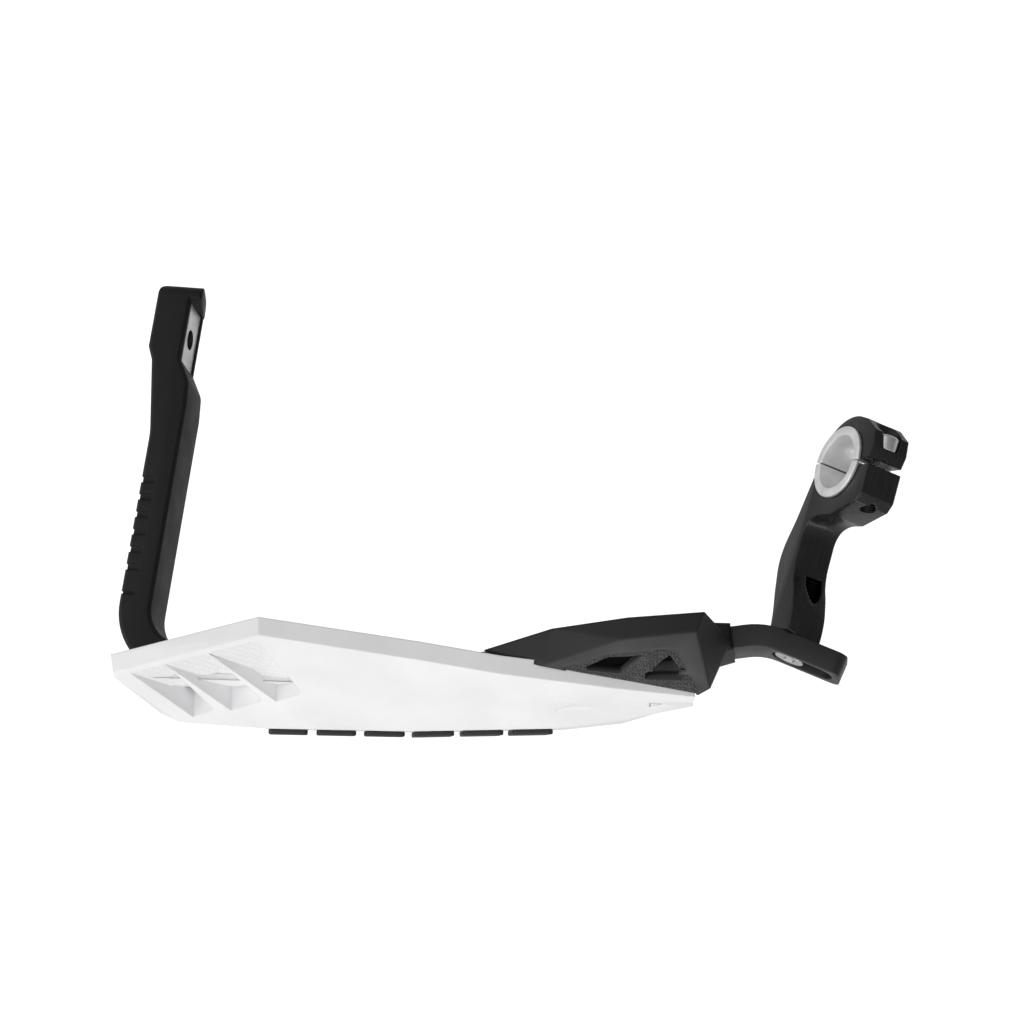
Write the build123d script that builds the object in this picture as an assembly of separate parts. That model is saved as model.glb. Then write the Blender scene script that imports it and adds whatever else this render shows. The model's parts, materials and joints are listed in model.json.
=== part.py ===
from build123d import *
import math
import os

# Motorcycle hand guard, right-hand side, closed type. Millimetres.
# Origin: centre of the bar-end bolt hole, on the face that the handlebar's end butts against.
# +X runs inboard along the handlebar, +Y to the rear (the rider), +Z up.

# driving sizes: alloy bar
bar_thickness = 8.8
bar_height = 18.0
bar_end_beyond_hole = 14.0
bar_end_hole_d = 8.5
seat_length_forward = 13.0
arm_straight_from = 46.0
arm_length = 143.0
front_run_angle = 7.7
front_bend_along = 140.0
front_bend_forward = 10.0
tip_bend_along = 256.6
tip_bend_forward = -0.9
tip_angle = 17.7
tip_length = 33.4
corner_radius = 22.0
front_bend_radius = 80.0
tip_bend_radius = 26.0
seat_bend_radius = 40.0
tip_corner_radius = 4.0

# driving sizes: cover moulded round the bar
cover_side_wall = 2.35
cover_top_wall = 3.0
cover_end_thickness = 7.2
cover_end_round = 6.0
cover_seat_outer_wall = 5.2
cover_step_from_hole = 8.0
cover_step_depth = 2.4
cover_hook_reach = 5.6
cover_rim = 0.8
cover_edge = 1.2
lip_before_tip_bend = 12.6
lip_wall = 0.9
lip_taper = 9.0
cover_gap = 0.1
bolt_access_d = 17.0
groove_count = 6
groove_pitch = 7.55
groove_first = 66.8
groove_width = 2.7
groove_depth = 0.8
groove_reach = 6.0
last_groove_from_hole = 115.5
last_groove_width = 1.2

# driving sizes: slot at the bar's tip, and the pivot that slides in it
pivot_from_tip_end = 21.4
slot_width = 8.6
pocket_from_tip_end = 2.9
pocket_length = 25.5
pocket_width = 13.0
pocket_depth = 4.4
slide_clearance = 0.25
slide_washer_thickness = 2.0
slide_washer_gap = 0.05
pivot_d = 8.0
pivot_running_gap = 0.06
pivot_head_d = 12.0
pivot_head_height = 2.0
pivot_socket_d = 5.0
pivot_length_in_arm = 19.0
base_gap = 0.1

# driving sizes: handlebar clamp
handlebar_d = 22.2
sleeve_wall = 1.7
sleeve_flange_width = 2.0
sleeve_flange_thickness = 1.4
sleeve_split_gap = 0.6
clamp_width = 16.0
clamp_shift = 1.5
clamp_rise = 35.3
clamp_skew = 9.4
bore_along = 70.7
bore_across = 11.3
clamp_split_gap = 2.8
cap_arc_radius = 19.2
cap_arc_offset = 3.7
heel_thickness = 1.3
pinch_from_bore = 16.5
pinch_d = 6.0
pinch_head_d = 10.0
pinch_head_height = 6.0
pinch_socket_d = 5.0
pinch_seat_above_bore = 6.4
pinch_tail_below_bore = 14.0
thread_gap = 0.1
fit_gap = 0.05

# driving sizes: shield
shield_wall = 2.8
shield_form_depth = 45.0
shield_flange = 7.3
lower_front_drop = 34.0
lower_front_setback = 7.0
vent_wall = 2.0
vent_depth = 14.0
vent_rim = 2.6
vent_starts = (4.0, 20.0, 39.4, 60.5)
vent_slants = (30.6, 32.0, 33.0)
vent_widths = (11.6, 16.6, 13.4)
ramp_left_share = 0.66
ramp_right_share = 0.38
ramp_bulge = 1.2
ramp_depth = 6.5
vent_corner = 3.0
ramp_wall = 2.2
bar_clearance = 0.5
boss_d = 11.0
recess_depth = 2.0
pad_count = 6
pad_pitch = 20.0
pad_first = 54.5
pad_width = 16.4
pad_height = 23.0
pad_thickness = 2.2
pad_slant = 5.0
pad_drop = 3.0
pad_corner = 1.2

# driving sizes: inner cover
hood_wall = 2.4
hood_form_depth = 30.0
field_depth = 0.6

# driving sizes: screws that hold the shield to the bar
screw_places = (94.0, 154.0, 206.0)
screw_d = 5.0
screw_length = 17.0
screw_head_d = 8.0
screw_head_height = 3.8
screw_socket_d = 4.0
screw_flange_d = 10.0
screw_flange_thickness = 1.0
screw_access_d = 12.0
screw_hole_d = 5.6
insert_across = 7.0
insert_length = 7.0

# driving sizes: snap hooks that hold the inner cover behind the shield's flange
hook_from_flange_right = 25.0
hook_from_flange_bend = 27.5
hook_width = 5.0
hook_thickness = 1.8
hook_reach = 2.0
hook_gap = 0.1

# sizes worked out from the driving ones
half_bar = bar_thickness / 2
half_height = bar_height / 2
cover_half = half_bar + cover_side_wall
cover_half_height = half_height + cover_top_wall
cover_hook_foot = bar_end_beyond_hole + cover_gap
cover_run_length = tip_bend_along - lip_before_tip_bend
up = Vector(0, 0, 1)
arm_start = Vector(0, -arm_straight_from, 0)
corner = Vector(0, -arm_length, 0)
run_x = Vector(math.cos(math.radians(front_run_angle)), math.sin(math.radians(front_run_angle)), 0)
run_forward = Vector(run_x.Y, -run_x.X, 0)
tip_x = Vector(math.cos(math.radians(tip_angle)), -math.sin(math.radians(tip_angle)), 0)
tip_rear = Vector(-tip_x.Y, tip_x.X, 0)
front_bend = corner + run_x * front_bend_along + run_forward * front_bend_forward
tip_bend = corner + run_x * tip_bend_along + run_forward * tip_bend_forward
tip_end = tip_bend + tip_x * tip_length
pivot_middle = tip_end - tip_x * pivot_from_tip_end
pivot_face = pivot_middle + tip_rear * half_bar
pocket_middle = tip_end - tip_x * (pocket_from_tip_end + pocket_length / 2)
slot_length = pocket_length - pocket_width + slot_width
slide_washer_d = pocket_width - 2 * slide_clearance
washer_seat_from_middle = pocket_depth - half_bar - slide_washer_gap
sleeve_outer_d = handlebar_d + 2 * sleeve_wall
flange_outer_d = sleeve_outer_d + 2 * sleeve_flange_width


def run_point(along, forward, height):
    """A place in the front run's own directions: along it, forward of its middle, and up."""
    return corner + run_x * along + run_forward * forward + up * height


def bar_half(along):
    """The two ends of the straight half of the bent front run that holds a place along it."""
    return (corner, front_bend) if along < front_bend_along else (front_bend, tip_bend)


def bar_forward(along):
    """The way straight forward from the bar at a place along the front run."""
    start, end = bar_half(along)
    way = (end - start).normalized()
    return Vector(way.Y, -way.X, 0)


def bar_point(along, forward):
    """A place along the front run and forward of the bent bar's own middle."""
    start, end = bar_half(along)
    way = (end - start).normalized()
    travel = (along - (start - corner).dot(run_x)) / way.dot(run_x)
    return start + way * travel + bar_forward(along) * forward


def beside(before, at, after, reach):
    """The corner of a bent line moved sideways: reach to the right of its way."""
    first = (at - before).normalized()
    second = (after - at).normalized()
    sides = Vector(first.Y + second.Y, -first.X - second.X, 0)
    return at + sides * (reach / (1 + first.dot(second)))


def rod(start, direction, length, diameter):
    """A plain cylinder from a place along a direction."""
    return extrude(Plane(origin=start, z_dir=direction) * Circle(diameter / 2), amount=length)


def hex_rod(start, direction, length, across):
    """A hexagonal prism, for a key socket."""
    face = Plane(origin=start, z_dir=direction) * RegularPolygon(across / 2, 6, major_radius=False)
    return extrude(face, amount=length)


def oblong(origin, long_axis, normal, length, width, depth):
    """A round-ended slot shape that grows along the normal from its face."""
    face = Plane(origin=origin, x_dir=long_axis, z_dir=normal) * SlotOverall(length, width)
    return extrude(face, amount=depth)


def round_corner(face, x, y, radius):
    """Round the corner of a flat outline that lies nearest a place."""
    corner_point = min(face.vertices(), key=lambda vertex: math.hypot(vertex.X - x, vertex.Y - y))
    return fillet(corner_point, radius)


def polyhedron(points, facets):
    """A closed solid from flat facets; each facet is cut into triangles from its first corner."""
    triangles = []
    for facet in facets:
        first = points[facet[0]]
        for second_name, third_name in zip(facet[1:-1], facet[2:]):
            outline = Wire.make_polygon([first, points[second_name], points[third_name]])
            triangles.append(Face(outline))
    solid = Solid(Shell(triangles))
    return solid if solid.volume > 0 else Solid(Shell([-face for face in triangles]))


def facet_normal(points, facet):
    """The outward normal of a facet, from the sum over its triangles."""
    total = Vector(0, 0, 0)
    first = points[facet[0]]
    for second_name, third_name in zip(facet[1:-1], facet[2:]):
        total += (points[second_name] - first).cross(points[third_name] - first)
    return total.normalized()


def free_edges(facets):
    """The facet edges that no second facet shares, in order."""
    edges = []
    for facet in facets:
        for start, end in zip(facet, facet[1:] + facet[:1]):
            edges.append((start, end))
    return [edge for edge in edges if (edge[1], edge[0]) not in edges]


def moulded_wall(points, facets, wall):
    """A thin wall: the outer facets, the same facets moved in by the wall, and a rim between."""
    inner = {}
    for name, point in points.items():
        normals = [facet_normal(points, facet) for facet in facets if name in facet]
        mean = sum(normals, Vector(0, 0, 0)).normalized()
        spread = sum(mean.dot(normal) for normal in normals) / len(normals)
        inner[name + "_in"] = point - mean * (wall / spread)
    both = {**points, **inner}
    inside = [tuple(name + "_in" for name in reversed(facet)) for facet in facets]
    rim = [(end, start, start + "_in", end + "_in") for start, end in free_edges(facets)]
    return polyhedron(both, list(facets) + inside + rim)


def form_behind(points, facets, move):
    """The full form from the outer facets back along one direction, as a closed solid."""
    both = {**points, **{name + "_far": point + move for name, point in points.items()}}
    far = [tuple(name + "_far" for name in reversed(facet)) for facet in facets]
    sides = [(end, start, start + "_far", end + "_far") for start, end in free_edges(facets)]
    return polyhedron(both, list(facets) + far + sides)


# alloy bar

def bar_body(beside_bar, above_bar):
    """The bent flat bar, grown by one amount on its sides and by another above and below."""
    line = FilletPolyline(
        (-half_bar, bar_end_beyond_hole + beside_bar),
        (-half_bar, -seat_length_forward),
        (0, -arm_straight_from),
        (corner.X, corner.Y),
        (front_bend.X, front_bend.Y),
        (tip_bend.X, tip_bend.Y),
        (tip_end.X, tip_end.Y),
        radius=[seat_bend_radius, seat_bend_radius, corner_radius, front_bend_radius, tip_bend_radius],
    )
    plan = trace(line, line_width=bar_thickness + 2 * beside_bar)
    return extrude(plan, amount=half_height + above_bar, both=True)


def make_alloy_bar():
    bar = bar_body(0, 0)
    end_face = min(bar.faces(), key=lambda face: (face.center() - tip_end).length)
    end_edges = [edge for edge in end_face.edges() if abs(edge.tangent_at(0.5).Z) < 0.5]
    bar = fillet(end_edges, tip_corner_radius)
    bar -= rod(Vector(-2 * bar_thickness, 0, 0), Vector(1, 0, 0), 3 * bar_thickness, bar_end_hole_d)
    ahead = pocket_middle - tip_rear * bar_thickness
    bar -= oblong(ahead, tip_x, tip_rear, slot_length, slot_width, 2 * bar_thickness)
    pocket_floor = half_bar + pocket_depth
    bar -= oblong(ahead, tip_x, tip_rear, pocket_length, pocket_width, pocket_floor)
    for place in screw_places:
        bar -= rod(bar_point(place, -bar_thickness), bar_forward(place), 2 * bar_thickness, screw_hole_d)
    return bar


# cover moulded round the bar

def cover_outline():
    """The cover's outline in plan, with its corners rounded."""
    outer_x = -(bar_thickness + cover_seat_outer_wall)
    top_y = bar_end_beyond_hole + cover_end_thickness
    step_y = -cover_step_from_hole - 2.5 * cover_step_depth
    outer_corner = beside(arm_start, corner, front_bend, cover_half)
    outer_bend = beside(corner, front_bend, tip_bend, cover_half)
    inner_bend = beside(corner, front_bend, tip_bend, -cover_half)
    inner_corner = beside(arm_start, corner, front_bend, -cover_half)
    rounded = [
        (Vector(outer_x, top_y), 5),
        (Vector(outer_x, -cover_step_from_hole), 2.5),
        (Vector(outer_x + cover_step_depth, step_y), 2.5),
        (Vector(-cover_half, -arm_straight_from), seat_bend_radius),
        (outer_corner, corner_radius + cover_half),
        (outer_bend, front_bend_radius + cover_half),
        (bar_point(cover_run_length - lip_taper, cover_half), 0),
        (bar_point(cover_run_length, half_bar + lip_wall), 0),
        (bar_point(cover_run_length, -half_bar - lip_wall), 0),
        (bar_point(cover_run_length - lip_taper, -cover_half), 4),
        (inner_bend, front_bend_radius - cover_half),
        (inner_corner, corner_radius - cover_half),
        (Vector(cover_half, -arm_straight_from + seat_length_forward), 12),
        (Vector(cover_half - lip_wall, -seat_length_forward - 9), 8),
        (Vector(cover_rim, -seat_length_forward), 0),
        (Vector(cover_rim, cover_hook_foot), 0),
        (Vector(cover_hook_reach, cover_hook_foot), 0),
        (Vector(cover_hook_reach, top_y), 2.5),
    ]
    face = make_face(Polyline(*[place for place, radius in rounded], close=True))
    for place, radius in rounded:
        if radius:
            face = round_corner(face, place.X, place.Y, radius)
    return face


def cover_end_cut(side):
    """What rounds the cover's end off above (side 1) or below (side -1) the bar's end."""
    top_y = bar_end_beyond_hole + cover_end_thickness
    length = 4 * bar_thickness + 2 * cover_hook_reach
    block = Pos(0, top_y, side * cover_half_height) * Box(length, 2 * cover_end_round, 2 * cover_end_round)
    axis_start = Vector(-length, top_y - cover_end_round, side * (cover_half_height - cover_end_round))
    return block - rod(axis_start, Vector(1, 0, 0), 2 * length, 2 * cover_end_round)


def hook_cut():
    """What slants the hook's inboard face, so that it runs out to the rim at its foot."""
    plane = Plane(origin=(0, cover_hook_foot - cover_gap, 0), x_dir=(1, 0, 0), z_dir=(0, -1, 0))
    lean = cover_hook_reach - cover_rim
    slant = Polyline(
        (cover_hook_reach, cover_half_height),
        (3 * cover_hook_reach, cover_half_height),
        (3 * cover_hook_reach, -2 * cover_half_height),
        (cover_hook_reach - 1.5 * lean, -2 * cover_half_height),
        close=True,
    )
    return extrude(plane * make_face(slant), amount=-2 * cover_end_thickness)


def make_bar_cover():
    cover = extrude(cover_outline(), amount=cover_half_height, both=True)
    caps = cover.faces().filter_by(Axis.Z)
    cover = chamfer(caps.edges(), cover_edge)
    cover -= cover_end_cut(1) + cover_end_cut(-1) + hook_cut()
    cover -= bar_body(cover_gap, cover_gap)
    window = Box(
        2 * bar_thickness,
        cover_hook_foot + seat_length_forward,
        bar_height + 2 * cover_gap,
        align=(Align.MIN, Align.MAX, Align.CENTER),
    )
    cover -= Pos(-cover_gap, cover_hook_foot, 0) * window
    cover -= rod(Vector(-bar_thickness, 0, 0), Vector(-1, 0, 0), 2 * cover_seat_outer_wall, bolt_access_d)
    for place in screw_places:
        forward = bar_forward(place)
        cover -= rod(bar_point(place, -half_bar), -forward, 2 * cover_side_wall, screw_access_d)
        cover -= rod(bar_point(place, 0), forward, 2 * cover_half, screw_hole_d)
    for index in range(groove_count):
        cover -= grip_groove(groove_first + index * groove_pitch, groove_width)
    return cover - grip_groove(last_groove_from_hole, last_groove_width)


def grip_groove(from_hole, width):
    """A shallow groove across the cover's top, outer side and underside."""
    band = Box(
        2 * groove_reach,
        width,
        4 * cover_half_height,
        align=(Align.CENTER, Align.CENTER, Align.CENTER),
    )
    core = Box(
        groove_reach + 2 * groove_reach,
        2 * width,
        2 * (cover_half_height - groove_depth),
        align=(Align.MIN, Align.CENTER, Align.CENTER),
    )
    band = Pos(-cover_half, -from_hole, 0) * band
    return band - Pos(-cover_half + groove_depth, -from_hole, 0) * core


# shield

shield_outline = {
    "flange_left": (-4.0, 0.0, 18.8),
    "flange_peak": (62.0, -5.8, 44.8),
    "flange_mid": (124.0, 4.0, 34.8),
    "flange_right": (155.0, 9.8, 30.8),
    "flange_bend": (198.0, 15.4, 23.8),
    "flange_end": (229.0, 18.8, 18.8),
    "crease_left": (-3.0, 7.0, 18.0),
    "crease_peak": (62.0, 1.3, 44.0),
    "crease_mid": (124.0, 11.3, 34.0),
    "crease_right": (155.0, 17.0, 30.0),
    "crease_bend": (198.0, 22.6, 23.0),
    "crease_end": (229.0, 26.0, 18.0),
    "brow_start": (81.0, 17.1, 17.0),
    "brow_mid": (121.0, 20.0, 16.0),
    "brow_right": (154.0, 23.3, 15.0),
    "brow_bend": (198.0, 25.3, 13.0),
    "brow_end": (228.0, 26.7, 11.0),
    "nose_left": (18.0, 22.4, -8.0),
    "nose_start": (52.0, 26.4, -8.0),
    "nose_mid": (112.0, 29.6, -8.0),
    "nose_right": (172.0, 30.6, -8.0),
    "nose_bend": (196.0, 28.8, -8.0),
    "nose_end": (227.0, 23.5, -8.0),
    "side_left": (-3.0, 8.8, 14.5),
    "chin_left": (4.0, 13.0, -30.0),
    "chin_end": (224.0, 19.0, -24.0),
    "skirt_left": (3.0, 5.5, -31.0),
    "skirt_end": (224.0, 11.5, -25.0),
}


def on_vent_facet(along, height):
    """How far forward the facet that holds the vents lies at a place seen from the front."""
    first = Vector(*shield_outline["crease_left"])
    to_nose = Vector(*shield_outline["nose_left"]) - first
    to_peak = Vector(*shield_outline["crease_peak"]) - first
    normal = to_nose.cross(to_peak)
    return first.Y - (normal.X * (along - first.X) + normal.Z * (height - first.Z)) / normal.Y


for corner_name in ("side_left", "nose_start", "brow_start"):
    corner_along, corner_forward, corner_height = shield_outline[corner_name]
    corner_forward = on_vent_facet(corner_along, corner_height)
    shield_outline[corner_name] = (corner_along, corner_forward, corner_height)
for station in ("start", "mid", "right", "bend"):
    nose_along, nose_forward, nose_height = shield_outline["nose_" + station]
    chin = (nose_along, nose_forward - lower_front_setback, nose_height - lower_front_drop)
    shield_outline["chin_" + station] = chin
    shield_outline["skirt_" + station] = (chin[0], chin[1] - shield_flange, chin[2] - 1)

shield_facets = [
    ("flange_left", "crease_left", "crease_peak", "flange_peak"),
    ("flange_peak", "crease_peak", "crease_mid", "flange_mid"),
    ("flange_mid", "crease_mid", "crease_right", "flange_right"),
    ("flange_right", "crease_right", "crease_bend", "flange_bend"),
    ("flange_bend", "crease_bend", "crease_end", "flange_end"),
    ("crease_left", "side_left", "nose_left", "nose_start", "brow_start", "crease_peak"),
    ("crease_peak", "brow_start", "brow_mid", "crease_mid"),
    ("crease_mid", "brow_mid", "brow_right", "crease_right"),
    ("crease_right", "brow_right", "brow_bend", "crease_bend"),
    ("crease_bend", "brow_bend", "brow_end", "crease_end"),
    ("brow_start", "nose_start", "nose_mid", "brow_mid"),
    ("brow_mid", "nose_mid", "nose_right", "brow_right"),
    ("brow_right", "nose_right", "nose_bend", "brow_bend"),
    ("brow_bend", "nose_bend", "nose_end", "brow_end"),
    ("side_left", "chin_left", "nose_left"),
    ("nose_left", "chin_left", "chin_start", "nose_start"),
    ("nose_start", "chin_start", "chin_mid", "nose_mid"),
    ("nose_mid", "chin_mid", "chin_right", "nose_right"),
    ("nose_right", "chin_right", "chin_bend", "nose_bend"),
    ("nose_bend", "chin_bend", "chin_end", "nose_end"),
    ("chin_left", "skirt_left", "skirt_start", "chin_start"),
    ("chin_start", "skirt_start", "skirt_mid", "chin_mid"),
    ("chin_mid", "skirt_mid", "skirt_right", "chin_right"),
    ("chin_right", "skirt_right", "skirt_bend", "chin_bend"),
    ("chin_bend", "skirt_bend", "skirt_end", "chin_end"),
    ("flange_left", "skirt_left", "chin_left", "side_left", "crease_left"),
]


def shield_points():
    return {name: run_point(*place) for name, place in shield_outline.items()}


def vent_corners(index):
    """The corners of one vent seen from the front, as (along, height) pairs."""
    start = shield_outline["crease_left"]
    peak = shield_outline["crease_peak"]
    rise = (peak[2] - start[2]) / (peak[0] - start[0])

    def below_crease(along):
        return (along, start[2] + rise * (along - start[0]) - vent_rim)

    tip = below_crease(vent_starts[index])
    next_tip = below_crease(vent_starts[index + 1])
    slant = math.radians(47.5)
    length = vent_slants[index]
    low_left = (tip[0] + length * math.cos(slant), tip[1] - length * math.sin(slant))
    width = vent_widths[index]
    low_right = (low_left[0] + width * 0.91, low_left[1] + width * 0.42)
    high_left = between(tip, low_left, ramp_left_share)
    high_right = between(next_tip, low_right, ramp_right_share)
    middle = between(high_left, high_right, 0.35)
    return tip, next_tip, low_left, low_right, high_right, (middle[0], middle[1] - ramp_bulge), high_left


def between(first, second, share):
    """A place between two (along, height) places."""
    return (first[0] + (second[0] - first[0]) * share, first[1] + (second[1] - first[1]) * share)


def eased_corner(before, at, after, reach):
    """Three places that take a sharp corner round."""
    first = between(at, before, reach / math.dist(at, before))
    last = between(at, after, reach / math.dist(at, after))
    return [first, between(between(first, last, 0.5), at, 0.5), last]


def grown(corners, amount):
    """A flat outline with every corner pushed out from its middle."""
    middle_u = sum(corner[0] for corner in corners) / len(corners)
    middle_z = sum(corner[1] for corner in corners) / len(corners)
    result = []
    for along, height in corners:
        reach = math.hypot(along - middle_u, height - middle_z)
        factor = (reach + amount) / reach
        result.append((middle_u + (along - middle_u) * factor, middle_z + (height - middle_z) * factor))
    return result


def prism_back(corners, front_offsets, back_offsets):
    """A solid between two sheets that follow the vent facet, each corner with its own two depths."""
    points = {}
    count = len(corners)
    for number, (along, height) in enumerate(corners):
        surface = on_vent_facet(along, height)
        points["front" + str(number)] = run_point(along, surface - front_offsets[number], height)
        points["back" + str(number)] = run_point(along, surface - back_offsets[number], height)
    facets = [tuple("front" + str(number) for number in range(count))]
    facets.append(tuple("back" + str(number) for number in reversed(range(count))))
    for number in range(count):
        following = (number + 1) % count
        facets.append(
            ("front" + str(following), "front" + str(number), "back" + str(number), "back" + str(following))
        )
    return polyhedron(points, facets)


def vent_walls(index):
    """The moulded walls behind one vent: a ramp from the top and a frame round its opening."""
    tip, next_tip, low_left, low_right, high_right, high_middle, high_left = vent_corners(index)
    frame = grown([low_left, low_right, high_right, high_left], 1.4 * vent_wall)
    walls = prism_back(frame, [1] * 4, [vent_depth] * 4)
    ramp = grown([tip, high_left, high_middle, high_right, next_tip], 1.4 * vent_wall)
    deep = ramp_depth + ramp_wall
    return walls + prism_back(ramp, [1] * 5, [shield_wall, deep, deep, deep, shield_wall])


def vent_cut(index):
    """What is taken out for one vent: the ramp's hollow and the way through below it."""
    tip, next_tip, low_left, low_right, high_right, high_middle, high_left = vent_corners(index)
    through = [low_left, *eased_corner(low_left, low_right, high_right, vent_corner)]
    through += [high_right, high_middle, high_left]
    opening = prism_back(through, [-3] * len(through), [vent_depth + 4] * len(through))
    hollow = [tip, high_left, high_middle, high_right, next_tip]
    ramp = prism_back(hollow, [-3] * 5, [0, ramp_depth, ramp_depth, ramp_depth, 0])
    return opening + ramp


def recess_cut():
    """The shallow slanting recess near the shield's inner end."""
    outline = [(172.4, 0.6), (173.9, 3.9), (180.6, 8.6), (195.9, 4.8)]
    depths = [0, recess_depth, recess_depth * 1.5, 0]
    points = {}
    brow = Vector(*shield_outline["brow_bend"])
    normal = (Vector(*shield_outline["nose_right"]) - brow).cross(Vector(*shield_outline["brow_right"]) - brow)
    for number, (along, height) in enumerate(outline):
        surface = brow.Y - (normal.X * (along - brow.X) + normal.Z * (height - brow.Z)) / normal.Y
        points["front" + str(number)] = run_point(along, surface + 3, height)
        points["back" + str(number)] = run_point(along, surface - depths[number] - 0.01, height)
    facets = [("front0", "front1", "front2", "front3"), ("back3", "back2", "back1", "back0")]
    for number in range(4):
        following = (number + 1) % 4
        facets.append(
            ("front" + str(following), "front" + str(number), "back" + str(number), "back" + str(following))
        )
    return polyhedron(points, facets)


def make_shield():
    points = shield_points()
    shield = moulded_wall(points, shield_facets, shield_wall)
    full = form_behind(points, shield_facets, -run_forward * shield_form_depth)
    behind = [vent_walls(index) for index in range(len(vent_slants))]
    half_wall = run_forward * (shield_wall / 2)
    boss_form = {name: point - half_wall for name, point in points.items()}
    inside = form_behind(boss_form, shield_facets, -run_forward * shield_form_depth)
    bar_room = bar_body(cover_side_wall + bar_clearance, cover_top_wall + bar_clearance)
    for piece in behind:
        shield += (piece & full) - bar_room
    for place in screw_places:
        boss_start = bar_point(place, cover_half + fit_gap)
        shield += rod(boss_start, bar_forward(place), 3 * boss_d, boss_d) & inside
    for index in range(len(vent_slants)):
        shield -= vent_cut(index)
    shield -= recess_cut()
    for place in screw_places:
        hole_start = bar_point(place, 0)
        shield -= hex_rod(hole_start, bar_forward(place), cover_half + insert_length + fit_gap, insert_across)
    return shield


def make_trim_pads():
    """Plain slanted pads in a row on the lower front."""
    pads = []
    for index in range(pad_count):
        from_station = "start" if index < pad_count / 2 else "mid"
        to_station = "mid" if index < pad_count / 2 else "right"
        first = run_point(*shield_outline["nose_" + from_station])
        along = (run_point(*shield_outline["nose_" + to_station]) - first).normalized()
        chin_point = run_point(*shield_outline["chin_" + from_station])
        down = (chin_point - first).normalized()
        outward = down.cross(along).normalized()
        square_down = along.cross(outward).normalized()
        if square_down.dot(down) < 0:
            square_down = -square_down
        if outward.dot(run_forward) < 0:
            outward = -outward
        start = (index % (pad_count // 2)) * pad_pitch + pad_first - shield_outline["nose_start"][0]
        outline = [
            (start, pad_drop),
            (start + pad_width, pad_drop),
            (start + pad_width - pad_slant, pad_drop + pad_height),
            (start - pad_slant, pad_drop + pad_height),
        ]
        places = [first + along * x + square_down * y for x, y in outline]
        pad = extrude(Face(Wire.make_polygon(places)), amount=pad_thickness, dir=outward)
        sides = [edge for edge in pad.edges() if abs(edge.tangent_at(0.5).dot(outward)) > 0.9]
        pads.append(chamfer(sides, pad_corner))
    return pads


# inner cover

hood_outline = {
    "toe": (148.0, 6.6, 28.0),
    "rear_start": (175.0, -0.4, 30.0),
    "rear_mid": (205.0, -2.0, 36.0),
    "rear_end": (234.5, -3.0, 36.0),
    "ridge_start": (170.0, 14.0, 28.7),
    "ridge_low": (192.0, 8.9, 34.5),
    "ridge_mid": (202.0, 7.1, 38.0),
    "ridge_end": (231.5, 5.0, 38.0),
    "foot_start": (186.0, 17.2, 26.1),
    "foot_mid": (205.0, 20.6, 22.4),
    "foot_end": (230.4, 25.4, 18.4),
    "side_low": (235.2, 23.3, 20.0),
    "side_corner": (243.7, 3.3, 14.5),
}

hood_facets = [
    ("toe", "ridge_start", "rear_start"),
    ("rear_start", "ridge_start", "ridge_low"),
    ("rear_start", "ridge_low", "ridge_mid", "rear_mid"),
    ("rear_mid", "ridge_mid", "ridge_end", "rear_end"),
    ("ridge_start", "foot_start", "ridge_low"),
    ("ridge_low", "foot_start", "foot_mid", "ridge_mid"),
    ("ridge_mid", "foot_mid", "foot_end", "side_low", "ridge_end"),
    ("ridge_end", "side_low", "side_corner"),
    ("ridge_end", "side_corner", "rear_end"),
]


hood_field = [
    (178.5, 28.1), (202.9, 32.9), (210.2, 33.5), (219.7, 33.4), (222.6, 32.3),
    (229.7, 20.6), (229.0, 14.0), (205.0, 18.0), (184.0, 22.0),
]
hood_windows = [
    [(187.6, 27.8), (197.0, 30.7), (210.5, 32.0), (200.8, 25.2), (188.5, 26.7)],
    [(220.4, 31.1), (225.8, 24.5), (225.2, 23.2), (210.2, 23.2), (210.4, 25.2), (216.6, 29.3)],
]


def hood_points():
    return {name: run_point(*place) for name, place in hood_outline.items()}


def on_hood_front(along, height):
    """How far forward the inner cover's front lies at a place seen from the front."""
    first = Vector(*hood_outline["ridge_mid"])
    normal = (Vector(*hood_outline["foot_mid"]) - first).cross(Vector(*hood_outline["ridge_end"]) - first)
    return first.Y - (normal.X * (along - first.X) + normal.Z * (height - first.Z)) / normal.Y


def hood_prism(corners, back):
    """A prism from before the inner cover's front to a depth behind it, seen from the front."""
    points = {}
    count = len(corners)
    for number, (along, height) in enumerate(corners):
        surface = on_hood_front(along, height)
        points["front" + str(number)] = run_point(along, surface + 2 * hood_wall, height)
        points["back" + str(number)] = run_point(along, surface - back, height)
    facets = [tuple("front" + str(number) for number in range(count))]
    facets.append(tuple("back" + str(number) for number in reversed(range(count))))
    for number in range(count):
        following = (number + 1) % count
        facets.append(
            ("front" + str(following), "front" + str(number), "back" + str(number), "back" + str(following))
        )
    return polyhedron(points, facets)


def snap_hook(start_name, end_name, distance):
    """A hook that runs down behind the flange's rear edge and turns in under it."""
    start = run_point(*shield_outline["flange_" + start_name])
    edge = (run_point(*shield_outline["flange_" + end_name]) - start).normalized()
    inward = start - run_point(*shield_outline["crease_" + start_name])
    plane = Plane(origin=start + edge * distance, x_dir=edge, z_dir=edge.cross(inward))
    below = shield_wall + hook_gap
    profile = Polyline(
        (hook_gap, hood_form_depth),
        (hook_gap, -below),
        (-hook_reach, -below),
        (-hook_reach, -below - hook_thickness / 2),
        (hook_gap, -below - hook_thickness),
        (hook_gap + hook_thickness, -below - hook_thickness),
        (hook_gap + hook_thickness, hood_form_depth),
        close=True,
    )
    section = Plane(origin=plane.origin, x_dir=plane.y_dir, z_dir=plane.x_dir) * make_face(profile)
    return extrude(section, amount=hook_width / 2, both=True)


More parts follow.
